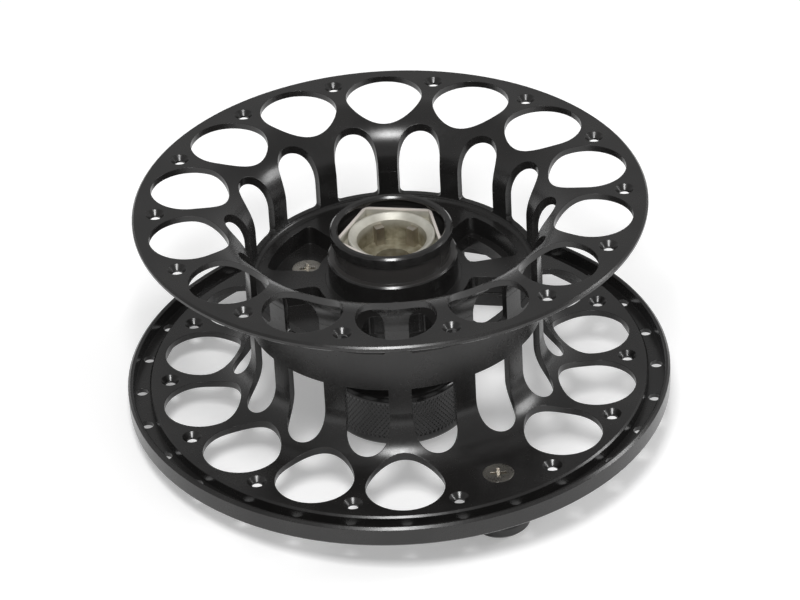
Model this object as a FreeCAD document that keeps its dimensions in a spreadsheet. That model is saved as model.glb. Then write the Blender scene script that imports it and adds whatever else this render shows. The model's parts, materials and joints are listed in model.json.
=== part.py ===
"""Spare spool of a large-arbor fly reel, as a parametric FreeCAD document (millimetres).

The spool axis is Z. The origin is on that axis, in the plane of the lower end of the handle grip,
so everything lies above z = 0. The spool itself is one machined blank; it is kept as five rings
that meet face to face, so that the line space between its flanges stays open.
"""
import FreeCAD, Part
import math
import os
import Sketcher
from FreeCAD import Placement, Rotation, Vector

SIZES = {
    # palming rim: a channel outside the lower flange
    "rim_underside": 7.5, "rim_radius": 50.0, "rim_height": 4.0, "rim_wall": 1.0,
    "rim_floor_rise": 0.3, "rim_floor_thick": 0.9, "rim_hole_circle": 47.55, "rim_hole_radius": 1.15,
    "rim_chamfer": 0.45,
    # flanges and drum
    "disc_radius": 46.0, "disc_face": 3.5, "top_radius": 46.4, "top_face": 39.8, "sheet_thick": 1.2,
    "drum_radius": 27.0, "fillet_radius": 8.6, "edge_break": 0.35,
    "hole_count": 14, "small_circle": 42.2, "small_radius": 0.9, "sink_radius": 1.75,
    "big_circle": 37.0, "big_radius": 7.1,
    "slot_radius": 4.0, "low_slot_circle": 26.5, "high_slot_circle": 25.9, "slot_offset": 0.8,
    "slot_corner": 0.8,
    # web between the drum and the hub
    "web_low": 18.2, "web_high": 24.2, "web_bore": 12.4, "web_ledge": 20.6,
    "window_outer": 23.4, "window_inner": 14.0, "window_count": 6, "window_span": 41.0,
    "window_start": 10.0, "window_step": 1.4, "window_lip": 0.3, "window_trim": 1.2,
    "window_corner": 1.5, "window_fillet": 0.9, "open_count": 4, "hub_screw_circle": 18.1,
    # hub
    "hub_top": 34.6, "hub_radius": 11.1, "hub_mouth": 9.7, "mouth_low": 33.9, "hub_bore": 10.1,
    "collar_low": 32.4, "hub_band": 10.6, "band_low": 29.0, "hub_neck": 11.8,
    "hub_flange_radius": 13.6, "hub_flange_low": 15.4, "hub_boss": 9.6, "boss_bevel": 1.5,
    "lug_radius": 21.4, "lug_span": 22.0, "lug_corner": 1.5,
    "stem_top": 6.4, "stem_radius": 7.0, "stem_low": -1.0, "spindle_bore": 3.2,
    "bush_bore": 2.55, "bush_outer": 5.4, "upper_bush_low": 18.4, "upper_bush_high": 25.0,
    "lower_bush_low": -1.0, "lower_bush_high": 5.0,
    # five-sided drive socket
    "socket_sides": 5, "socket_top": 33.1, "socket_base": 25.0, "socket_foot": 1.4,
    "socket_corner_circle": 10.4, "socket_corner": 1.5, "socket_lip": 0.5, "lip_depth": 1.8,
    "cup_radius": 7.88, "cup_high": 32.75, "cup_edge": 0.15, "cup_bore": 6.35, "mouth_slope": 0.9,
    "mouth_reach": 1.1, "socket_floor": 27.7,
    "floor_hole": 3.2, "socket_turn": 80.5, "dog_width": 1.6, "dog_depth": 1.4, "dog_height": 3.6,
    "dog_circle": 5.6, "dog_spread": 33.0,
    # knob under the web
    "knob_radius": 13.0, "knob_low": -5.0, "knob_high": 5.8, "knob_bevel": 1.5, "knob_foot_bevel": 1.0,
    "knob_running": 0.06, "knob_ledge": 0.9, "knob_cup": 9.0, "cap_radius": 9.9, "cap_low": -4.6,
    "cap_high": -3.2, "insert_radius": 4.0, "insert_flange": 6.0, "insert_flange_high": -2.4,
    "insert_top": -1.4, "insert_thread": 2.1,
    "clip_thick": 0.7, "clip_inner": 6.4, "clip_outer": 8.4, "clip_turn": 330.0,
    "seal_radius": 6.62, "seal_section": 0.42, "seal_height": 3.8, "washer_outer": 9.2,
    "washer_thick": 0.5,
    # handle, counterweight and their countersunk screws
    "handle_circle": 38.3, "handle_angle": 295.714, "grip_low": -7.5, "grip_high": 1.6,
    "grip_radius": 5.4, "grip_waist": 4.5, "grip_ease": 0.8, "grip_swell": 2.2, "grip_collar": 0.2,
    "grip_bevel": 0.4, "grip_running": 0.06, "grip_cup": 4.2, "grip_cup_high": -5.5,
    "post_radius": 2.5, "post_head": 3.8, "post_bevel": 0.3, "post_head_low": -6.9,
    "post_head_high": -5.7, "pad_thick": 0.6, "pad_outer": 4.6, "weight_radius": 5.6, "weight_low": -0.2,
    "screw_head": 2.8, "screw_shank": 1.5, "screw_tap": 1.25, "screw_sink": 1.3, "screw_neck": 0.3,
    "screw_tip": 0.4, "screw_relief": 1.75, "relief_depth": 0.4, "screw_length": 7.5,
    "weight_screw_length": 3.4, "hub_screw_length": 5.0, "drive_width": 0.6, "drive_span": 2.9,
    "drive_depth": 0.9,
}


NOTHING = 1e-6  # a difference too small to count, in millimetres or degrees


class Dim:
    """A length that knows its value and the expression that gives it from the sheet."""

    def __init__(self, value, text):
        self.value = float(value)
        self.text = text

    def _with(self, other, sign, value):
        other = dim(other)
        return Dim(value(self.value, other.value), "(%s %s %s)" % (self.text, sign, other.text))

    def __add__(self, other):
        return self._with(other, "+", lambda a, b: a + b)

    def __sub__(self, other):
        return self._with(other, "-", lambda a, b: a - b)

    def __mul__(self, other):
        return self._with(other, "*", lambda a, b: a * b)

    def __truediv__(self, other):
        return self._with(other, "/", lambda a, b: a / b)


def dim(value):
    """Any plain number as a Dim."""
    return value if isinstance(value, Dim) else Dim(value, repr(float(value)))


doc = FreeCAD.newDocument("fly_reel_spool")
sheet = doc.addObject("Spreadsheet::Sheet", "sizes")
for row, (alias, number) in enumerate(SIZES.items(), start=1):
    sheet.set("A%d" % row, alias)
    sheet.set("B%d" % row, repr(number))
    sheet.setAlias("B%d" % row, alias)
doc.recompute()
S = {alias: Dim(number, "sizes." + alias) for alias, number in SIZES.items()}


def height(alias):
    """A height given from the underside of the rim, as a height above the origin."""
    return S["rim_underside"] + S[alias]


def bind(thing, **values):
    """Bind properties of an object to the sheet; two underscores stand for a dot."""
    for path, value in values.items():
        thing.setExpression(path.replace("__", "."), dim(value).text)


def new_body(label):
    body = doc.addObject("PartDesign::Body", label)
    body.Label = label
    return body


def origin_feature(body, role):
    return [item for item in body.Origin.OriginFeatures if item.Role == role][0]


def attach(feature, body, role):
    feature.AttachmentSupport = [(origin_feature(body, role), "")]
    feature.MapMode = "FlatFace"


def outline_sketch(body, name, points, role="XZ_Plane"):
    """A closed outline. A point is (across, up) or (across, up, radius, centre, turn), where the
    last three make the next side an arc about centre; turn is +1 counter-clockwise, -1 clockwise."""
    sketch = body.newObject("Sketcher::SketchObject", name)
    attach(sketch, body, role)
    points = [tuple(dim(v) for v in point[:2]) + tuple(point[2:]) for point in points]
    ends = []
    for index, point in enumerate(points):
        after = points[(index + 1) % len(points)]
        start = Vector(point[0].value, point[1].value, 0)
        stop = Vector(after[0].value, after[1].value, 0)
        if len(point) == 2:
            sketch.addGeometry(Part.LineSegment(start, stop), False)
            ends.append((1, 2))
            continue
        radius, centre, turn = point[2:]
        middle = Vector(dim(centre[0]).value, dim(centre[1]).value, 0)
        first, last = (start, stop) if turn > 0 else (stop, start)
        angles = [math.atan2(p.y - middle.y, p.x - middle.x) for p in (first, last)]
        if angles[1] < angles[0]:
            angles[1] += 2 * math.pi
        circle = Part.Circle(middle, Vector(0, 0, 1), dim(radius).value)
        sketch.addGeometry(Part.ArcOfCircle(circle, angles[0], angles[1]), False)
        ends.append((1, 2) if turn > 0 else (2, 1))
    for index, point in enumerate(points):
        after = (index + 1) % len(points)
        sketch.addConstraint(Sketcher.Constraint("Coincident", index, ends[index][1], after, ends[after][0]))
        pin_point(sketch, index, ends[index][0], point[0], point[1])
        if len(point) > 2:
            place = sketch.addConstraint(Sketcher.Constraint("Radius", index, dim(point[2]).value))
            sketch.setExpression("Constraints[%d]" % place, dim(point[2]).text)
    return sketch


def pin_point(sketch, geometry, position, across, up):
    """Fix one point of a sketch at bound coordinates, or on an axis where a coordinate is zero."""
    for kind, axis, value in (("DistanceX", -2, dim(across)), ("DistanceY", -1, dim(up))):
        if abs(value.value) < NOTHING:
            sketch.addConstraint(Sketcher.Constraint("PointOnObject", geometry, position, axis))
            continue
        place = sketch.addConstraint(
            Sketcher.Constraint(kind, -1, 1, geometry, position, value.value))
        sketch.setExpression("Constraints[%d]" % place, value.text)


def revolve(body, points, angle=360.0):
    sketch = outline_sketch(body, body.Label + "_profile", points)
    turned = body.newObject("PartDesign::Revolution", body.Label + "_turned")
    turned.Profile = (sketch, [""])
    turned.ReferenceAxis = (sketch, ["V_Axis"])
    bind(turned, Angle=angle)
    return turned


def lathe_body(label, points, angle=360.0):
    body = new_body(label)
    revolve(body, points, angle)
    return body


def ring_body(label, inner, outer, low, high, angle=360.0):
    return lathe_body(label, [(inner, low), (outer, low), (outer, high), (inner, high)], angle)


def circle_sketch(body, name, across, radius, turn=0.0, up=0.0):
    """One circle parallel to the XY plane, at a bound distance from the axis, a bound angle and height."""
    sketch = body.newObject("Sketcher::SketchObject", name)
    attach(sketch, body, "XY_Plane")
    sketch.AttachmentOffset = Placement(Vector(0, 0, dim(up).value), Rotation(Vector(0, 0, 1), dim(turn).value))
    bind(sketch, AttachmentOffset__Rotation__Angle=turn, AttachmentOffset__Base__z=up)
    across, radius = dim(across), dim(radius)
    sketch.addGeometry(Part.Circle(Vector(across.value, 0, 0), Vector(0, 0, 1), radius.value), False)
    pin_point(sketch, 0, 3, across, 0)
    place = sketch.addConstraint(Sketcher.Constraint("Radius", 0, radius.value))
    sketch.setExpression("Constraints[%d]" % place, radius.text)
    return sketch


def pocket_up(body, sketch, name, length=None):
    """Cut along the plane's positive normal, through everything or over a bound length."""
    pocket = body.newObject("PartDesign::Pocket", name)
    pocket.Profile = (sketch, [""])
    pocket.Reversed = True
    pocket.Type = "ThroughAll" if length is None else "Length"
    if length is not None:
        bind(pocket, Length=length)
    return pocket


def pattern(body, original, count, angle=360.0):
    copies = body.newObject("PartDesign::PolarPattern", original.Name + "_pattern")
    copies.Originals = [original]
    copies.Axis = (origin_feature(body, "Z_Axis"), [""])
    bind(copies, Occurrences=count, Angle=angle)
    body.Tip = copies
    return copies


def primitive(body, kind, name, across, up, turn=0.0, **values):
    """A PartDesign primitive on the XY plane, at bound polar coordinates."""
    feature = body.newObject("PartDesign::" + kind, name)
    attach(feature, body, "XY_Plane")
    across, up, turn = dim(across), dim(up), dim(turn)
    radians = math.radians(turn.value)
    feature.AttachmentOffset = Placement(
        Vector(across.value * math.cos(radians), across.value * math.sin(radians), up.value),
        Rotation(Vector(0, 0, 1), turn.value))
    bind(feature, AttachmentOffset__Rotation__Angle=turn, AttachmentOffset__Base__z=up, **values)
    feature.setExpression("AttachmentOffset.Base.x", "%s * cos(%s)" % (across.text, in_degrees(turn)))
    feature.setExpression("AttachmentOffset.Base.y", "%s * sin(%s)" % (across.text, in_degrees(turn)))
    return feature


def in_degrees(turn):
    """The expression of a plain number as an angle."""
    return "%s * 1 deg" % turn.text


def cut_hole(body, name, across, radius, turn=0.0):
    return pocket_up(body, circle_sketch(body, name + "_circle", across, radius, turn), name)


def countersink(body, name, across, face, wide, narrow, turn=0.0):
    """A 90 degree cone that opens upwards at the height face."""
    depth = dim(wide) - dim(narrow)
    return primitive(body, "SubtractiveCone", name, across, dim(face) - depth, turn,
                     Radius1=narrow, Radius2=wide, Height=depth)


def upright_edges(shape, keep):
    """Names of the straight edges parallel to Z whose distance from the axis passes keep."""
    names = []
    for index, edge in enumerate(shape.Edges, start=1):
        if edge.Curve.TypeId != "Part::GeomLine" or len(edge.Vertexes) != 2:
            continue
        low, high = (vertex.Point for vertex in edge.Vertexes)
        if math.hypot(low.x - high.x, low.y - high.y) < NOTHING and keep(math.hypot(low.x, low.y)):
            names.append("Edge%d" % index)
    return names


def round_uprights(body, base, radius, keep=lambda distance: True):
    doc.recompute()
    rounded = body.newObject("PartDesign::Fillet", base.Name + "_rounded")
    rounded.Base = (base, upright_edges(base.Shape, keep))
    bind(rounded, Radius=radius)
    body.Tip = rounded
    return rounded


# ---------------------------------------------------------------- spool blank

PITCH = dim(360.0) / S["hole_count"]
HALF_PITCH = PITCH / 2
SHEET = S["sheet_thick"]
DRUM_INNER = S["drum_radius"] - SHEET
DISC_FACE = height("disc_face")
TOP_FACE = height("top_face")
LOW_TANGENT = DISC_FACE + S["fillet_radius"]
HIGH_TANGENT = TOP_FACE - SHEET - S["fillet_radius"]
FLARE = S["drum_radius"] + S["fillet_radius"]
INNER_FILLET = S["fillet_radius"] + SHEET
WINDOW_PITCH = dim(360.0) / S["window_count"]


def soften_slots(body, cut, level):
    """Round the corner between the wall and the flat end of each slot, at the height level."""
    doc.recompute()
    names = []
    for index, edge in enumerate(cut.Shape.Edges, start=1):
        curve = edge.Curve
        if curve.TypeId == "Part::GeomCircle" and abs(curve.Center.z - level.value) < NOTHING:
            if abs(curve.Radius - S["slot_radius"].value) < NOTHING:
                names.append("Edge%d" % index)
    rounded = body.newObject("PartDesign::Fillet", cut.Name + "_rounded")
    rounded.Base = (cut, names)
    bind(rounded, Radius=S["slot_corner"])
    body.Tip = rounded


def cut_low_slots(body):
    """Slots sunk from below with an upright cutter, up to a flat end just under the web."""
    sketch = circle_sketch(body, body.Label + "_low_slot_circle", S["low_slot_circle"], S["slot_radius"])
    slot = pocket_up(body, sketch, body.Label + "_low_slot", height("web_low") - S["slot_offset"])
    return pattern(body, slot, S["hole_count"])


def cut_high_slots(body):
    """Slots sunk from above in the same way, down to a flat end just over the web."""
    sketch = circle_sketch(body, body.Label + "_high_slot_circle", S["high_slot_circle"], S["slot_radius"],
                           up=height("web_high") + S["slot_offset"])
    slot = pocket_up(body, sketch, body.Label + "_high_slot")
    return pattern(body, slot, S["hole_count"])


def cut_sunk_holes(body, face):
    """The ring of small countersunk holes near the edge of a flange."""
    sink = countersink(body, body.Label + "_sink", S["small_circle"], face, S["sink_radius"],
                       S["small_radius"])
    pattern(body, sink, S["hole_count"])
    hole = cut_hole(body, body.Label + "_small_hole", S["small_circle"], S["small_radius"])
    return pattern(body, hole, S["hole_count"])


def upper_flange():
    edge = S["edge_break"]
    body = lathe_body("upper_flange", [
        (DRUM_INNER, HIGH_TANGENT),
        (S["drum_radius"], HIGH_TANGENT, S["fillet_radius"], (FLARE, HIGH_TANGENT), -1),
        (FLARE, TOP_FACE - SHEET),
        (S["top_radius"] - edge, TOP_FACE - SHEET),
        (S["top_radius"], TOP_FACE - SHEET + edge),
        (S["top_radius"], TOP_FACE - edge),
        (S["top_radius"] - edge, TOP_FACE),
        (FLARE, TOP_FACE, INNER_FILLET, (FLARE, HIGH_TANGENT), 1),
    ])
    cut_sunk_holes(body, TOP_FACE)
    big = cut_hole(body, "upper_big_hole", S["big_circle"], S["big_radius"], HALF_PITCH)
    pattern(body, big, S["hole_count"])
    cut_high_slots(body)
    return body


def lower_flange():
    """The disc, its flare into the drum and the skirt that stands on the rim channel."""
    edge = S["edge_break"]
    floor = height("rim_floor_rise") + S["rim_floor_thick"]
    skirt = S["disc_radius"] - SHEET
    body = lathe_body("lower_flange", [
        (S["drum_radius"], LOW_TANGENT),
        (DRUM_INNER, LOW_TANGENT, INNER_FILLET, (FLARE, LOW_TANGENT), 1),
        (FLARE, DISC_FACE - SHEET),
        (skirt, DISC_FACE - SHEET),
        (skirt, floor),
        (S["disc_radius"], floor),
        (S["disc_radius"], DISC_FACE - edge),
        (S["disc_radius"] - edge, DISC_FACE),
        (FLARE, DISC_FACE, S["fillet_radius"], (FLARE, LOW_TANGENT), -1),
    ])
    cut_sunk_holes(body, DISC_FACE)
    handle_side = S["handle_angle"]
    for number, turn in enumerate((handle_side + PITCH, handle_side + PITCH - 180)):
        big = cut_hole(body, "lower_big_hole_%d" % number, S["big_circle"], S["big_radius"], turn)
        pattern(body, big, S["hole_count"] / 2 - 1, PITCH * (S["hole_count"] / 2 - 2))
    for number, turn in enumerate((handle_side, handle_side - 180)):
        cut_hole(body, "lower_screw_hole_%d" % number, S["handle_circle"], S["screw_shank"], turn)
        countersink(body, "lower_screw_sink_%d" % number, S["handle_circle"], DISC_FACE, S["screw_head"],
                    S["screw_shank"], turn)
    cut_low_slots(body)
    return body


def palming_rim():
    bottom = S["rim_underside"]
    inner = S["disc_radius"] - SHEET
    wall = S["rim_radius"] - S["rim_wall"]
    chamfer = S["rim_chamfer"]
    floor_low = height("rim_floor_rise")
    floor_high = floor_low + S["rim_floor_thick"]
    lip = chamfer / 2
    body = lathe_body("palming_rim", [
        (inner, floor_low), (wall, floor_low), (wall, bottom),
        (S["rim_radius"] - chamfer, bottom), (S["rim_radius"], bottom + chamfer),
        (S["rim_radius"], bottom + S["rim_height"] - chamfer),
        (S["rim_radius"] - chamfer, bottom + S["rim_height"]),
        (wall + lip, bottom + S["rim_height"]), (wall, bottom + S["rim_height"] - lip),
        (wall, floor_high), (inner, floor_high),
    ])
    hole = cut_hole(body, "rim_hole", S["rim_hole_circle"], S["rim_hole_radius"])
    pattern(body, hole, S["hole_count"] * 2)
    return body


def arbor_drum():
    body = ring_body("arbor_drum", DRUM_INNER, S["drum_radius"], LOW_TANGENT, HIGH_TANGENT)
    cut_low_slots(body)
    slots = cut_high_slots(body)
    soften_slots(body, slots, height("web_high") + S["slot_offset"])
    return body


def sector_sketch(body, name, outer, inner, start, span, up=0.0):
    """A ring sector parallel to the XY plane, at a bound height and turned to its bound start angle."""
    sketch = body.newObject("Sketcher::SketchObject", name)
    attach(sketch, body, "XY_Plane")
    sketch.AttachmentOffset = Placement(Vector(0, 0, dim(up).value), Rotation(Vector(0, 0, 1), start.value))
    bind(sketch, AttachmentOffset__Rotation__Angle=start, AttachmentOffset__Base__z=up)
    sweep = math.radians(span.value)
    origin = Vector(0, 0, 0)
    along = Vector(math.cos(sweep), math.sin(sweep), 0)
    up = Vector(0, 0, 1)
    sketch.addGeometry(Part.LineSegment(Vector(inner.value, 0, 0), Vector(outer.value, 0, 0)), False)
    sketch.addGeometry(Part.ArcOfCircle(Part.Circle(origin, up, outer.value), 0, sweep), False)
    sketch.addGeometry(Part.LineSegment(along * outer.value, along * inner.value), False)
    sketch.addGeometry(Part.ArcOfCircle(Part.Circle(origin, up, inner.value), 0, sweep), False)
    for constraint in (("Coincident", 0, 2, 1, 1), ("Coincident", 1, 2, 2, 1), ("Coincident", 2, 2, 3, 2),
                       ("Coincident", 3, 1, 0, 1), ("Coincident", 1, 3, -1, 1), ("Coincident", 3, 3, -1, 1),
                       ("PointOnObject", 0, 1, -1), ("PointOnObject", 0, 2, -1)):
        sketch.addConstraint(Sketcher.Constraint(*constraint))
    for geometry, radius in ((1, outer), (3, inner)):
        place = sketch.addConstraint(Sketcher.Constraint("Radius", geometry, radius.value))
        sketch.setExpression("Constraints[%d]" % place, radius.text)
    place = sketch.addConstraint(Sketcher.Constraint("Angle", 0, 1, 2, 2, sweep))
    sketch.setExpression("Constraints[%d]" % place, span.text)
    return sketch


def hub_screw_angle():
    """The middle of the first closed window."""
    return S["window_start"] + S["window_span"] / 2 + WINDOW_PITCH * 2


def web_plate():
    """The plate inside the drum: six windows, four of them open and two with a thin floor."""
    low, high = height("web_low"), height("web_high")
    fillet = S["window_fillet"]
    body = lathe_body("web_plate", [
        (S["web_bore"], low), (DRUM_INNER, low),
        (DRUM_INNER, high + fillet, fillet, (DRUM_INNER - fillet, high + fillet), -1),
        (DRUM_INNER - fillet, high), (S["web_bore"], high),
    ])
    sketch = sector_sketch(body, "window_outline", S["window_outer"], S["window_inner"], S["window_start"],
                           S["window_span"], height("web_ledge"))
    window = pocket_up(body, sketch, "window")
    upper = pattern(body, window, S["window_count"])
    round_uprights(body, upper, S["window_corner"], lambda distance: distance > S["web_bore"].value)
    trim, first_open = S["window_trim"], S["window_start"] + WINDOW_PITCH * 4
    sketch = sector_sketch(body, "opening_outline", S["window_outer"] - S["window_step"],
                           S["window_inner"] + S["window_lip"], first_open + trim,
                           S["window_span"] - trim * 2)
    opening = pocket_up(body, sketch, "opening")
    pattern(body, opening, S["open_count"], WINDOW_PITCH * (S["open_count"] - 1))
    turn = hub_screw_angle()
    cut_hole(body, "web_screw_hole", S["hub_screw_circle"], S["screw_shank"], turn)
    countersink(body, "web_screw_sink", S["hub_screw_circle"], height("web_ledge"), S["screw_head"],
                S["screw_shank"], turn)
    return body


# ---------------------------------------------------------------- hub and drive

def hub_tube():
    """Turned hub: collar at the top, flange with a screw lug under the web, stem for the knob."""
    top = height("hub_top")
    bevel, boss_bevel = S["edge_break"], S["boss_bevel"]
    collar_low, band_low = height("collar_low"), height("band_low")
    flange_low, flange_high = height("hub_flange_low"), height("web_low")
    stem_top, stem_low = height("stem_top"), height("stem_low")
    clip_low = height("stem_low") + S["clip_thick"]
    seal, section = height("seal_height"), S["seal_section"]
    seat = S["seal_radius"] - section
    bush_low, lower_bush_high = height("upper_bush_low"), height("lower_bush_high")
    body = lathe_body("hub_tube", [
        (S["hub_mouth"] + bevel, top), (S["hub_mouth"], top - bevel),
        (S["hub_mouth"], height("mouth_low")), (S["hub_bore"], height("mouth_low")),
        (S["hub_bore"], height("socket_base")),
        (S["bush_outer"], height("socket_base")), (S["bush_outer"], bush_low),
        (S["spindle_bore"], bush_low), (S["spindle_bore"], lower_bush_high),
        (S["bush_outer"], lower_bush_high), (S["bush_outer"], stem_low),
        (S["stem_radius"], stem_low), (S["stem_radius"], clip_low), (S["clip_inner"], clip_low),
        (S["clip_inner"], clip_low + S["clip_thick"]), (S["stem_radius"], clip_low + S["clip_thick"]),
        (S["stem_radius"], seal - section), (seat, seal - section), (seat, seal + section),
        (S["stem_radius"], seal + section), (S["stem_radius"], stem_top),
        (S["hub_boss"], stem_top), (S["hub_boss"], flange_low - boss_bevel),
        (S["hub_boss"] + boss_bevel, flange_low),
        (S["hub_flange_radius"] - bevel, flange_low), (S["hub_flange_radius"], flange_low + bevel),
        (S["hub_flange_radius"], flange_high), (S["web_bore"], flange_high),
        (S["web_bore"], height("web_high")), (S["hub_neck"], height("web_high")),
        (S["hub_neck"], band_low - bevel), (S["hub_neck"] - bevel, band_low),
        (S["hub_band"], band_low), (S["hub_band"], collar_low),
        (S["hub_radius"] - bevel / 2, collar_low), (S["hub_radius"], collar_low + bevel / 2),
        (S["hub_radius"], top - bevel), (S["hub_radius"] - bevel, top),
    ])
    sketch = sector_sketch(body, "lug_outline", S["lug_radius"], S["web_bore"],
                           hub_screw_angle() - S["lug_span"] / 2, S["lug_span"], flange_low)
    lug = body.newObject("PartDesign::Pad", "lug")
    lug.Profile = (sketch, [""])
    bind(lug, Length=flange_high - flange_low)
    round_uprights(body, lug, S["lug_corner"], lambda distance: distance > S["hub_screw_circle"].value)
    cut_hole(body, "hub_tap", S["hub_screw_circle"], S["screw_tap"], hub_screw_angle())
    return body


def drive_socket():
    """Nickel-plated insert: five flats round a thin lip, with a round cup and a drilled floor inside."""
    body = new_body("drive_socket")
    high, base, sides = height("socket_top"), height("socket_base"), S["socket_sides"]
    half_side = dim(180.0) / sides
    turn = S["socket_turn"] + half_side
    corner, edge = S["socket_corner_circle"], S["cup_edge"]
    prism = primitive(body, "AdditivePrism", "socket_flats", 0, base, turn, Polygon=sides,
                      Circumradius=corner, Height=high - base)
    round_uprights(body, prism, S["socket_corner"])
    primitive(body, "AdditiveCylinder", "socket_foot", 0, base, 0, Radius=S["hub_bore"],
              Height=S["socket_foot"])
    lip = S["socket_lip"] / math.cos(math.radians(half_side.value))
    primitive(body, "SubtractivePrism", "socket_lip_cut", 0, high - S["lip_depth"], turn,
              Polygon=sides, Circumradius=corner - lip, Height=S["lip_depth"])
    cup_low, cup_high = height("socket_floor"), height("cup_high")
    primitive(body, "AdditiveCylinder", "cup_wall", 0, cup_low, 0, Radius=S["cup_radius"],
              Height=cup_high - edge - cup_low)
    primitive(body, "AdditiveCone", "cup_brim", 0, cup_high - edge, 0, Radius1=S["cup_radius"],
              Radius2=S["cup_radius"] - edge, Height=edge)
    primitive(body, "SubtractiveCylinder", "cup_cut", 0, cup_low, 0, Radius=S["cup_bore"],
              Height=high - cup_low)
    primitive(body, "SubtractiveCone", "cup_mouth", 0, cup_high - S["mouth_slope"], 0, Radius1=S["cup_bore"],
              Radius2=S["cup_bore"] + S["mouth_reach"], Height=S["mouth_slope"])
    primitive(body, "SubtractiveCylinder", "floor_hole_cut", 0, base, 0, Radius=S["floor_hole"],
              Height=high - base)
    return body


def drive_dog(number, side):
    """One of the two driving dogs that stand on the socket floor."""
    body = new_body("drive_dog_%d" % number)
    width, depth = S["dog_width"], S["dog_depth"]
    turn = S["socket_turn"] + S["dog_spread"] * side
    block = body.newObject("PartDesign::AdditiveBox", body.Label + "_block")
    attach(block, body, "XY_Plane")
    inner, floor = S["dog_circle"] - depth / 2, height("socket_floor")
    block.AttachmentOffset = Placement(Vector(inner.value, -width.value / 2, floor.value), Rotation())
    bind(block, AttachmentOffset__Base__x=inner, AttachmentOffset__Base__y=width / -2,
         AttachmentOffset__Base__z=floor, Length=depth, Width=width, Height=S["dog_height"])
    body.Placement = Placement(Vector(), Rotation(Vector(0, 0, 1), turn.value))
    body.setExpression("Placement.Rotation.Angle", turn.text)
    return body


def upper_bush():
    return ring_body("upper_bush", S["bush_bore"], S["bush_outer"], height("upper_bush_low"),
                     height("upper_bush_high"))


def lower_bush():
    return ring_body("lower_bush", S["bush_bore"], S["bush_outer"], height("lower_bush_low"),
                     height("lower_bush_high"))


# ---------------------------------------------------------------- screws

def move_to(body, circle, turn):
    """Place a body that was made on the Z axis at polar coordinates."""
    radians = math.radians(turn.value)
    body.Placement = Placement(
        Vector(circle.value * math.cos(radians), circle.value * math.sin(radians), 0), Rotation())
    body.setExpression("Placement.Base.x", "%s * cos(%s)" % (circle.text, in_degrees(turn)))
    body.setExpression("Placement.Base.y", "%s * sin(%s)" % (circle.text, in_degrees(turn)))
    return body


def sunk_screw(label, face, length, circle, turn):
    """Countersunk screw with a cross recess, its head flush with the height face."""
    head, shank, tap, tip = S["screw_head"], S["screw_shank"], S["screw_tap"], S["screw_tip"]
    neck_high = face - S["screw_sink"]
    neck_low = neck_high - S["screw_neck"]
    body = lathe_body(label, [
        (0, face), (0, face - length), (tap - tip, face - length), (tap, face - length + tip),
        (tap, neck_low), (shank, neck_low), (shank, neck_high), (head, face),
    ])
    for number, (across, along) in enumerate((("drive_span", "drive_width"), ("drive_width", "drive_span"))):
        recess = body.newObject("PartDesign::SubtractiveBox", "%s_recess_%d" % (label, number))
        attach(recess, body, "XY_Plane")
        corner = face - S["drive_depth"]
        recess.AttachmentOffset = Placement(
            Vector(-S[across].value / 2, -S[along].value / 2, corner.value), Rotation())
        bind(recess, AttachmentOffset__Base__x=S[across] / -2, AttachmentOffset__Base__y=S[along] / -2,
             AttachmentOffset__Base__z=corner, Length=S[across], Width=S[along], Height=S["drive_depth"] * 2)
    return move_to(body, circle, turn)


def flange_screws():
    sunk_screw("handle_screw", DISC_FACE, S["screw_length"], S["handle_circle"], S["handle_angle"])
    sunk_screw("counterweight_screw", DISC_FACE, S["weight_screw_length"], S["handle_circle"],
               S["handle_angle"] - 180)


def hub_screw():
    sunk_screw("hub_screw", height("web_ledge"), S["hub_screw_length"], S["hub_screw_circle"],
               hub_screw_angle())


# ---------------------------------------------------------------- knob

def knob_shell():
    """Grip ring of the captive spindle nut; it runs on the hub stem."""
    low, high = height("knob_low"), height("knob_high")
    bevel, foot = S["knob_bevel"], S["knob_foot_bevel"]
    ledge = height("knob_ledge")
    bore = S["stem_radius"] + S["knob_running"]
    body = lathe_body("knob_shell", [
        (bore, high), (bore, ledge), (S["knob_cup"], ledge), (S["knob_cup"], height("cap_high")),
        (S["cap_radius"], height("cap_high")), (S["cap_radius"], low),
        (S["knob_radius"] - foot, low), (S["knob_radius"], low + foot),
        (S["knob_radius"], high - bevel), (S["knob_radius"] - bevel, high),
    ])
    return body


def knob_cap():
    return ring_body("knob_cap", S["insert_radius"], S["cap_radius"], height("cap_low"), height("cap_high"))


def knob_insert():
    low, high = height("cap_low"), height("insert_top")
    flange_low, flange_high = height("cap_high"), height("insert_flange_high")
    outer, wide, thread = S["insert_radius"], S["insert_flange"], S["insert_thread"]
    return lathe_body("knob_insert", [
        (thread, low), (outer, low), (outer, flange_low), (wide, flange_low), (wide, flange_high),
        (outer, flange_high), (outer, high), (thread, high),
    ])


def knob_seal():
    """The O-ring on the hub stem: a circle turned about the axis."""
    body = new_body("knob_seal")
    radius, section, middle = S["seal_radius"], S["seal_section"], height("seal_height")
    sketch = body.newObject("Sketcher::SketchObject", "seal_section")
    attach(sketch, body, "XZ_Plane")
    circle = Part.Circle(Vector(radius.value, middle.value, 0), Vector(0, 0, 1), section.value)
    sketch.addGeometry(circle, False)
    pin_point(sketch, 0, 3, radius, middle)
    place = sketch.addConstraint(Sketcher.Constraint("Radius", 0, section.value))
    sketch.setExpression("Constraints[%d]" % place, section.text)
    turned = body.newObject("PartDesign::Revolution", "seal_turned")
    turned.Profile = (sketch, [""])
    turned.ReferenceAxis = (sketch, ["V_Axis"])
    return body


def retaining_ring():
    low = height("stem_low") + S["clip_thick"]
    return ring_body("retaining_ring", S["clip_inner"], S["clip_outer"], low, low + S["clip_thick"],
                     S["clip_turn"])


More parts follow.
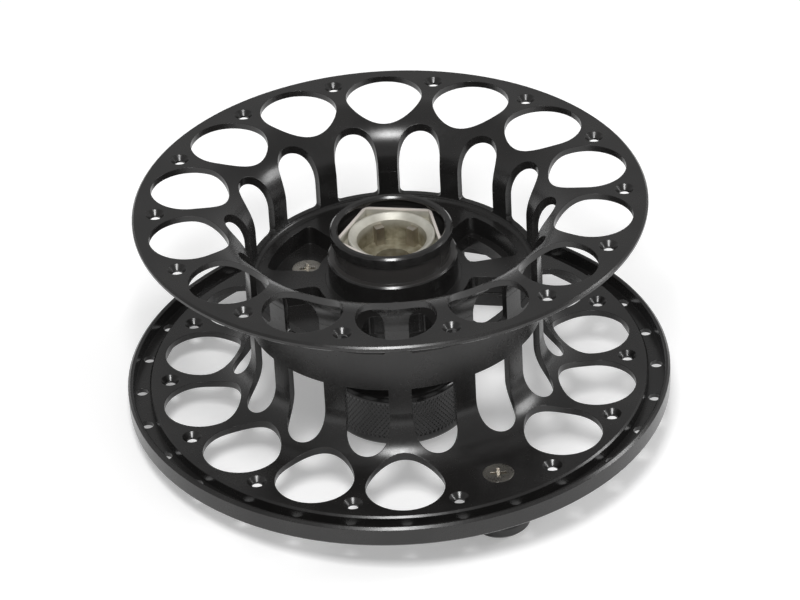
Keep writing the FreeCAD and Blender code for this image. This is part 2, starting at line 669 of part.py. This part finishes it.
def thrust_washer():
    high = height("stem_top")
    return ring_body("thrust_washer", S["stem_radius"], S["washer_outer"], high - S["washer_thick"], high)


# ---------------------------------------------------------------- handle and counterweight

def handle_grip():
    """Short turned grip with a waist, bored for its post and cupped over the post head."""
    low, high = height("grip_low"), height("grip_high")
    bore = S["post_radius"] + S["grip_running"]
    wide, waist, ease = S["grip_radius"], S["grip_waist"], S["grip_ease"]
    middle = (low + high) / 2
    body = lathe_body("handle_grip", [
        (bore, high), (bore, height("grip_cup_high")), (S["grip_cup"], height("grip_cup_high")),
        (S["grip_cup"], low), (wide - ease, low), (wide, low + ease), (wide, low + S["grip_swell"]),
        (waist, middle), (waist + S["grip_collar"], high - ease), (waist - S["grip_bevel"], high),
    ])
    return move_to(body, S["handle_circle"], S["handle_angle"])


def handle_post():
    top = DISC_FACE - SHEET
    head_low, head_high = height("post_head_low"), height("post_head_high")
    post, head, tap, bevel = S["post_radius"], S["post_head"], S["screw_tap"], S["post_bevel"]
    tap_low = DISC_FACE - S["screw_length"]
    relief, relief_low = S["screw_relief"], top - S["relief_depth"]
    body = lathe_body("handle_post", [
        (0, tap_low), (0, head_low), (head - bevel, head_low), (head, head_low + bevel), (head, head_high),
        (post, head_high), (post, top), (relief, top), (relief, relief_low), (tap, relief_low),
        (tap, tap_low),
    ])
    return move_to(body, S["handle_circle"], S["handle_angle"])


def handle_washer():
    high = DISC_FACE - SHEET
    body = ring_body("handle_washer", S["post_radius"], S["pad_outer"], high - S["pad_thick"], high)
    return move_to(body, S["handle_circle"], S["handle_angle"])


def counterweight():
    low, high = height("weight_low"), DISC_FACE - SHEET
    bevel, tap = S["edge_break"], S["screw_tap"]
    relief, relief_low = S["screw_relief"], high - S["relief_depth"]
    body = lathe_body("counterweight", [
        (tap, low), (S["weight_radius"] - bevel, low), (S["weight_radius"], low + bevel),
        (S["weight_radius"], high), (relief, high), (relief, relief_low), (tap, relief_low),
    ])
    return move_to(body, S["handle_circle"], S["handle_angle"] - 180)


# ---------------------------------------------------------------- build, check and write

def build():
    for make in (upper_flange, arbor_drum, web_plate, lower_flange, palming_rim, hub_tube,
                 drive_socket, upper_bush, lower_bush, hub_screw, flange_screws, knob_shell, knob_cap,
                 knob_insert, knob_seal, retaining_ring, thrust_washer, handle_grip, handle_post,
                 handle_washer, counterweight):
        make()
    for number, side in enumerate((1, -1), start=1):
        drive_dog(number, side)
    doc.recompute()


def check_and_write():
    for item in doc.Objects:
        if any(word in item.State for word in ("Invalid", "Error")):
            raise RuntimeError("%s is %s" % (item.Label, item.State))
    os.makedirs("parts", exist_ok=True)
    for body in doc.findObjects("PartDesign::Body"):
        for feature in body.Group:
            if feature.isDerivedFrom("PartDesign::Pocket") and feature.BaseFeature is not None:
                if feature.Shape.Volume >= feature.BaseFeature.Shape.Volume - NOTHING:
                    raise RuntimeError("%s cuts nothing" % feature.Label)
        shape = body.Shape
        if shape.isNull() or not shape.isValid() or len(shape.Solids) != 1:
            raise RuntimeError("%s has no single valid solid" % body.Label)
        shape.exportStep("parts/%s.step" % body.Label)
        print("%-20s %9.1f mm3" % (body.Label, shape.Volume))


build()
check_and_write()
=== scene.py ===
"""Studio scene of a fly reel spool: camera, stage, lights, materials and the knurled knob."""
import json
import math

import bmesh
import bpy
from mathutils import Matrix, Vector


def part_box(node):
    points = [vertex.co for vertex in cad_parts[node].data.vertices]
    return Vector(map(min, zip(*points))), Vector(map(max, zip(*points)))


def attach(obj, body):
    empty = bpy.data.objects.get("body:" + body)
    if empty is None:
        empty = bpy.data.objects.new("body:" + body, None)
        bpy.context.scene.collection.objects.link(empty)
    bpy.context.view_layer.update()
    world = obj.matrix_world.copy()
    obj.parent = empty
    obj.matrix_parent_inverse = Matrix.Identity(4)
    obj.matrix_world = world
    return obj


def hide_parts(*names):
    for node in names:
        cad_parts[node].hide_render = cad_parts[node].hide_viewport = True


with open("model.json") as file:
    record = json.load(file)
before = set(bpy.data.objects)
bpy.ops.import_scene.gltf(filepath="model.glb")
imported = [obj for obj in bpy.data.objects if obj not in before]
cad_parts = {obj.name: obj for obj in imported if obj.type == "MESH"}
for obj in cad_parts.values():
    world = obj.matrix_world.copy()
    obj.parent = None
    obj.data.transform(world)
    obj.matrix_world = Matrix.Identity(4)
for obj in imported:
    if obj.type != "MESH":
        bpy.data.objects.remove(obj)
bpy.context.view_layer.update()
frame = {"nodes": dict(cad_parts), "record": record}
MM = 0.001

# ---------------------------------------------------------------- camera

LENS = 185.6
SENSOR = 36.0
DISTANCE = 762.7 * MM
ELEVATION = 0.6092
YAW, PITCH, ROLL = -0.0012, 0.0201, 0.0551
AIM = Vector((0, 0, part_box("palming_rim")[0].z))


def turned(vector, axis, angle):
    return Matrix.Rotation(angle, 3, axis) @ vector


def make_camera():
    """A long lens in front of the spool, above it, with a small roll."""
    data = bpy.data.cameras.new("camera")
    data.lens = LENS
    data.sensor_width = SENSOR
    data.clip_start, data.clip_end = 0.01, 20.0
    camera = bpy.data.objects.new("camera", data)
    bpy.context.scene.collection.objects.link(camera)
    back = Vector((0, -math.cos(ELEVATION), math.sin(ELEVATION)))
    forward = -back
    right = Vector((1, 0, 0))
    up = right.cross(forward)
    forward, right = turned(forward, up, YAW), turned(right, up, YAW)
    forward, up = turned(forward, right, PITCH), turned(up, right, PITCH)
    right, up = turned(right, forward, ROLL), turned(up, forward, ROLL)
    rotation = Matrix((right, up, -forward)).transposed().to_4x4()
    camera.matrix_world = Matrix.Translation(AIM + back * DISTANCE) @ rotation
    bpy.context.scene.camera = camera


# ---------------------------------------------------------------- stage and light

FLOOR_SIZE = 12.0
FLOOR_DROP = 5.9 * MM
FLOOR_SLOPE = (-0.055, 0.04)
FLOOR_GLOW = 0.27
WORLD_RISE, WORLD_GLOW = (0.2, 0.7), (0.52, 0.36)  # height of a direction, and the strength there


def make_floor():
    """A white sweep that the spool leans on; it glows a little, as a lit light table does."""
    white = bpy.data.materials.new("floor_white")
    white.use_nodes = True
    shader = white.node_tree.nodes["Principled BSDF"]
    shader.inputs["Base Color"].default_value = (0.9, 0.9, 0.9, 1)
    shader.inputs["Roughness"].default_value = 0.9
    shader.inputs["Specular IOR Level"].default_value = 0.1
    shader.inputs["Emission Color"].default_value = (1, 1, 1, 1)
    shader.inputs["Emission Strength"].default_value = FLOOR_GLOW
    bpy.ops.mesh.primitive_plane_add(size=FLOOR_SIZE, location=(0, 0, AIM.z - FLOOR_DROP))
    floor = bpy.context.object
    floor.name = "floor"
    floor.data.materials.append(white)
    normal = Vector((-FLOOR_SLOPE[0], -FLOOR_SLOPE[1], 1)).normalized()
    floor.rotation_mode = "QUATERNION"
    floor.rotation_quaternion = Vector((0, 0, 1)).rotation_difference(normal)


def softbox(name, turn, tilt, distance, width, depth, radiance):
    """A rectangular lamp aimed at the spool. turn is its azimuth and tilt its angle from the zenith."""
    data = bpy.data.lights.new(name, "AREA")
    data.shape = "RECTANGLE"
    data.size, data.size_y = width, depth
    data.energy = radiance * math.pi * width * depth
    lamp = bpy.data.objects.new(name, data)
    bpy.context.scene.collection.objects.link(lamp)
    turn, tilt = math.radians(turn), math.radians(tilt)
    aim = Vector((math.sin(tilt) * math.cos(turn), math.sin(tilt) * math.sin(turn), math.cos(tilt)))
    lamp.location = aim * distance + AIM
    lamp.rotation_mode = "QUATERNION"
    lamp.rotation_quaternion = (-aim).to_track_quat("-Z", "Y")


def make_lights():
    """A key in front of the zenith, a lower lamp on the right, and a world that is brighter low down."""
    softbox("key_softbox", turn=-94, tilt=34, distance=0.9, width=0.20, depth=0.22, radiance=34.0)
    softbox("right_softbox", turn=4, tilt=66, distance=1.0, width=0.24, depth=0.26, radiance=12.0)
    world = bpy.data.worlds.new("studio")
    bpy.context.scene.world = world
    world.use_nodes = True
    tree = world.node_tree
    place = add(tree, "TexCoord").outputs["Generated"]
    rise = add(tree, "SeparateXYZ", {"Vector": place}).outputs["Z"]
    glow = ranged(tree, rise, *WORLD_RISE, *WORLD_GLOW)
    tree.links.new(glow, tree.nodes["Background"].inputs["Strength"])
    tree.nodes["Background"].inputs["Color"].default_value = (1, 1, 1, 1)
    bpy.context.scene.view_settings.view_transform = "Standard"


# ---------------------------------------------------------------- node helpers

def add(tree, kind, inputs=None, **settings):
    """Add a node; an input is a value, or the output socket that feeds it."""
    node = tree.nodes.new("ShaderNode" + kind)
    for name, value in settings.items():
        setattr(node, name, value)
    for name, value in (inputs or {}).items():
        if isinstance(value, bpy.types.NodeSocket):
            tree.links.new(value, node.inputs[name])
        else:
            node.inputs[name].default_value = value
    return node


def ranged(tree, value, low, high, start=0.0, stop=1.0):
    """A value from low..high carried over to start..stop, held at both ends."""
    inputs = {"Value": value, "From Min": low, "From Max": high, "To Min": start, "To Max": stop}
    return add(tree, "MapRange", inputs).outputs["Result"]


def mixed(tree, factor, first, second):
    """A colour between two colours, each a value or a socket."""
    node = tree.nodes.new("ShaderNodeMix")
    node.data_type = "RGBA"
    for socket, value in zip((node.inputs[0], node.inputs[6], node.inputs[7]), (factor, first, second)):
        if isinstance(value, bpy.types.NodeSocket):
            tree.links.new(value, socket)
        else:
            socket.default_value = value if isinstance(value, float) else (*value, 1)
    return node.outputs[2]


class Finish:
    """A principled material with the part's own coordinates at hand."""

    def __init__(self, name, color, roughness, metallic=0.0):
        self.material = bpy.data.materials.new(name)
        self.material.use_nodes = True
        self.tree = self.material.node_tree
        self.shader = self.tree.nodes["Principled BSDF"]
        self.shader.inputs["Base Color"].default_value = (*color, 1)
        self.shader.inputs["Roughness"].default_value = roughness
        self.shader.inputs["Metallic"].default_value = metallic
        self.color, self.roughness = color, roughness
        self.place = add(self.tree, "TexCoord").outputs["Object"]
        self.split = add(self.tree, "SeparateXYZ", {"Vector": self.place}).outputs

    def noise(self, size, detail=2.0, vector=None):
        """Noise with features of the given size in metres."""
        inputs = {"Vector": vector or self.place, "Scale": 1.0 / size, "Detail": detail}
        return add(self.tree, "TexNoise", inputs).outputs["Fac"]

    def radius(self):
        flat = add(self.tree, "CombineXYZ", {"X": self.split["X"], "Y": self.split["Y"]})
        return add(self.tree, "VectorMath", {0: flat.outputs["Vector"]}, operation="LENGTH").outputs["Value"]

    def feed(self, name, socket):
        self.tree.links.new(socket, self.shader.inputs[name])

    def vary(self, size, shade, polish):
        """Vary the colour by a share and the roughness by an amount, in patches and in fine grain."""
        patches, grain = self.noise(size, 3.0), self.noise(size / 12, 2.0)
        dark = tuple(c * (1 - shade) for c in self.color)
        light = tuple(c * (1 + shade) for c in self.color)
        self.feed("Base Color", mixed(self.tree, ranged(self.tree, patches, 0.35, 0.65), dark, light))
        both = add(self.tree, "Math", {0: patches, 1: grain}, operation="ADD").outputs["Value"]
        rough = ranged(self.tree, both, 0.8, 1.2, self.roughness - polish, self.roughness + polish)
        self.feed("Roughness", rough)

    def relief(self, height_socket, depth, strength, edge=0.0):
        """Bump of a depth in metres over edges that are rounded by a radius in metres."""
        inputs = {"Height": height_socket, "Distance": depth, "Strength": strength}
        if edge:
            inputs["Normal"] = add(self.tree, "Bevel", {"Radius": edge}, samples=6).outputs["Normal"]
        self.feed("Normal", add(self.tree, "Bump", inputs).outputs["Normal"])

    def turning(self, pitch):
        """Fine rings left by the lathe tool, uneven in height: noise along the radius and the axis."""
        across = add(self.tree, "CombineXYZ", {"X": self.radius(), "Y": self.split["Z"]}).outputs["Vector"]
        return self.noise(pitch, 2.0, across)


# ---------------------------------------------------------------- materials

ANODISED = (0.0135, 0.0129, 0.0126)
# Painted reflection: the paler colour of a band on the hub, below its top.
PAINTED_REFLECTION = (0.035, 0.033, 0.032)
REFLECTION_LOW, REFLECTION_HIGH, REFLECTION_EDGE = 5.6 * MM, 2.2 * MM, 0.15 * MM  # painted reflection: a paler band, below the top of the hub
# Painted shade: the darker, yellower colours down in the socket's cup.
SHADED_CUP_DARK, SHADED_CUP_PALE = (0.20, 0.175, 0.115), (0.36, 0.335, 0.25)
BRIM_DARK, BRIM_PALE = (0.46, 0.445, 0.39), (0.60, 0.585, 0.52)
# Painted highlight: the pale colour of the socket's lip.
PAINTED_LIP_HIGHLIGHT = (0.80, 0.74, 0.69)
CUP_SHADE_DEPTHS = (3.2 * MM, 0.7 * MM)   # where the painted shade of the cup gives way to the brim, below the socket's top
LIP_HIGHLIGHT_DEPTHS = (0.35 * MM, 0.2 * MM)  # and the brim to the lip's painted highlight

def anodised(name, roughness, edge, shade=0.18):
    """Black anodised aluminium: satin, with faint turning rings and softly broken edges."""
    finish = Finish(name, ANODISED, roughness)
    finish.vary(9 * MM, shade, 0.025)
    finish.shader.inputs["Anisotropic"].default_value = 0.08
    tangent = add(finish.tree, "Tangent", direction_type="RADIAL", axis="Z").outputs["Tangent"]
    finish.feed("Tangent", tangent)
    finish.relief(finish.turning(0.4 * MM), 0.0015 * MM, 0.2, edge)
    return finish.material


def hub_black():
    """The hub's finish: polished, with a paler band under the collar that is a painted reflection."""
    material = anodised("look_hub", 0.20, 0.12 * MM, 0.1)
    tree = material.node_tree
    shader = tree.nodes["Principled BSDF"]
    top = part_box("hub_tube")[1].z
    place = add(tree, "TexCoord").outputs["Object"]
    rise = add(tree, "SeparateXYZ", {"Vector": place}).outputs["Z"]
    inside = ranged(tree, rise, top - REFLECTION_LOW - REFLECTION_EDGE, top - REFLECTION_LOW)
    below = ranged(tree, rise, top - REFLECTION_HIGH, top - REFLECTION_HIGH + REFLECTION_EDGE, 1.0, 0.0)
    painted_reflection = add(tree, "Math", {0: inside, 1: below}, operation="MULTIPLY").outputs["Value"]
    plain = shader.inputs["Base Color"].links[0].from_socket
    # Paint the reflection: the band's rings take the paler colour.
    tree.links.new(mixed(tree, painted_reflection, plain, PAINTED_REFLECTION), shader.inputs["Base Color"])
    return material


def nickel():
    """Satin nickel, with painted shade that makes it darker and yellower down in the cup, and a painted
    highlight that makes the lip pale.
    """
    finish = Finish("look_nickel", (0.62, 0.60, 0.54), 0.42, 0.35)
    tree, high = finish.tree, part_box("drive_socket")[1].z
    # Painted shade: the cup's darker colour, mixed in patches.
    shaded_cup = mixed(tree, ranged(tree, finish.noise(1.6 * MM), 0.35, 0.65), SHADED_CUP_DARK, SHADED_CUP_PALE)
    brim = mixed(tree, ranged(tree, finish.noise(2.5 * MM), 0.3, 0.7), BRIM_DARK, BRIM_PALE)
    out_of_cup_shade = ranged(tree, finish.split["Z"], *(high - depth for depth in CUP_SHADE_DEPTHS))
    at_lip_highlight = ranged(tree, finish.split["Z"], *(high - depth for depth in LIP_HIGHLIGHT_DEPTHS))
    # Painted highlight: the top of the lip takes the pale colour.
    nickel_with_painted_light = mixed(tree, at_lip_highlight, mixed(tree, out_of_cup_shade, shaded_cup, brim), PAINTED_LIP_HIGHLIGHT)
    finish.feed("Base Color", nickel_with_painted_light)
    grain = finish.noise(0.25 * MM, 3.0)
    finish.feed("Roughness", ranged(tree, grain, 0.3, 0.7, 0.34, 0.52))
    finish.relief(grain, 0.02 * MM, 0.3, 0.08 * MM)
    return finish.material


def steel(name, color, roughness, pitch=0.25 * MM):
    """Bare steel or bronze, with fine tool marks and a slightly uneven colour."""
    finish = Finish(name, color, roughness, 1.0)
    finish.vary(2.5 * MM, 0.15, 0.08)
    finish.relief(finish.noise(pitch, 3.0), 0.01 * MM, 0.35, 0.06 * MM)
    return finish.material


def rubber():
    finish = Finish("look_rubber", (0.018, 0.018, 0.018), 0.6)
    finish.vary(1.5 * MM, 0.2, 0.08)
    finish.relief(finish.noise(0.12 * MM), 0.01 * MM, 0.4)
    return finish.material


def acetal():
    finish = Finish("look_acetal", (0.72, 0.71, 0.67), 0.45)
    finish.vary(2 * MM, 0.06, 0.05)
    finish.shader.inputs["Subsurface Weight"].default_value = 0.1
    finish.shader.inputs["Subsurface Radius"].default_value = (1.0 * MM, 0.9 * MM, 0.8 * MM)
    finish.relief(finish.turning(0.3 * MM), 0.005 * MM, 0.3)
    return finish.material


LOOK = {
    "anodised_black": anodised("look_anodised", 0.25, 0.14 * MM),
    "hub_black": hub_black(),
    "grip_black": anodised("look_grip", 0.30, 0.12 * MM),
    "seal_rubber": rubber(),
    "nickel_plate": nickel(),
    "dark_steel": steel("look_steel", (0.52, 0.48, 0.42), 0.38),
    "bronze": steel("look_bronze", (0.45, 0.28, 0.12), 0.42),
    "stainless": steel("look_stainless", (0.50, 0.475, 0.43), 0.3),
    "acetal": acetal(),
    "brass_nut": steel("look_brass", (0.60, 0.45, 0.18), 0.35),
}


def dress_frame():
    """Give every CAD node the finish of its slot in the record."""
    for row in frame["record"]["subparts"]:
        node = frame["nodes"][row["node"]]
        node.data.materials.clear()
        node.data.materials.append(LOOK[row["material_slot"]])


# ---------------------------------------------------------------- knurled knob

KNURLS = 96          # diamonds round the knob
KNURL_DEPTH = 0.24 * MM
KNURL_SLANT = 1.3    # a diamond's height over its width
STEPS = 4            # mesh steps along one diamond
ZONE_LOW, ZONE_HIGH = 2.0 * MM, 9.0 * MM  # the knurled belt, above the foot of the knob
TOP_BEVEL, FOOT_BEVEL = 1.5 * MM, 1.0 * MM
ZONE_GAP = 0.3 * MM  # plain ring at each end of the belt
ROW_RISE = 0.28 * MM  # height of one row of the belt
BORE_PLAY = 1.06 * MM  # the bore's radius over that of the insert
CAP_SEAT = 0.9 * MM  # width of the seat that the cap rests on
LEDGE_RISE = 4.1 * MM  # from the cap to the top of the knob's cup
SOFTEN = 5           # rings in each rounded bevel


def knurl(column, rise, pitch):
    """Depth of the diamond pattern below the outer radius; column counts mesh steps round the knob."""
    across, up = column / STEPS, rise / pitch
    ridges = max(abs((across + way * up) % 1 - 0.5) for way in (1, -1))
    return KNURL_DEPTH * ridges * 2


def knob_profile():
    """Rings (radius, height, is it knurled) from the top of the bore, down and round the outside."""
    low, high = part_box("knob_shell")
    outer, foot, top = high.x, low.z, high.z
    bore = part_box("knob_insert")[1].x + BORE_PLAY
    cap_outer, cap_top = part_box("knob_cap")[1].x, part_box("knob_cap")[1].z
    ledge = cap_top + LEDGE_RISE
    rings = [(bore, top), (bore, ledge), (cap_outer - CAP_SEAT, ledge), (cap_outer - CAP_SEAT, cap_top),
             (cap_outer, cap_top), (cap_outer, foot)]
    rings += [(outer - FOOT_BEVEL + FOOT_BEVEL * math.sin(t), foot + FOOT_BEVEL - FOOT_BEVEL * math.cos(t))
              for t in (math.pi / 2 * k / SOFTEN for k in range(SOFTEN + 1))]
    rings = [(radius, rise, False) for radius, rise in rings]
    count = round((ZONE_HIGH - ZONE_LOW) / ROW_RISE)
    rings.append((outer, foot + ZONE_LOW - ZONE_GAP, False))
    rings += [(outer, foot + ZONE_LOW + (ZONE_HIGH - ZONE_LOW) * k / count, True) for k in range(count + 1)]
    rings.append((outer, foot + ZONE_HIGH + ZONE_GAP, False))
    rings += [(outer - TOP_BEVEL + TOP_BEVEL * math.cos(t), top - TOP_BEVEL + TOP_BEVEL * math.sin(t), False)
              for t in (math.pi / 2 * k / SOFTEN for k in range(SOFTEN + 1))]
    return rings


def make_knob():
    rings = knob_profile()
    columns = KNURLS * STEPS
    low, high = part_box("knob_shell")
    start, pitch = low.z + ZONE_LOW, 2 * math.pi * high.x / KNURLS * KNURL_SLANT
    mesh = bmesh.new()
    grid = []
    for radius, rise, knurled in rings:
        row = []
        for column in range(columns):
            turn = 2 * math.pi * column / columns
            reach = radius - (knurl(column, rise - start, pitch) if knurled else 0)
            row.append(mesh.verts.new((reach * math.cos(turn), reach * math.sin(turn), rise)))
        grid.append(row)
    for number, row in enumerate(grid):
        above = grid[(number + 1) % len(grid)]
        for column in range(columns):
            after = (column + 1) % columns
            mesh.faces.new((row[column], row[after], above[after], above[column])).smooth = True
    bmesh.ops.recalc_face_normals(mesh, faces=mesh.faces)
    data = bpy.data.meshes.new("knurled_knob")
    mesh.to_mesh(data)
    mesh.free()
    data.set_sharp_from_angle(angle=math.radians(25))
    knob = bpy.data.objects.new("knurled_knob", data)
    bpy.context.scene.collection.objects.link(knob)
    data.materials.append(LOOK["hub_black"])
    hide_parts("knob_shell")
    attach(knob, "knob")


make_camera()
make_floor()
make_lights()
dress_frame()
make_knob()
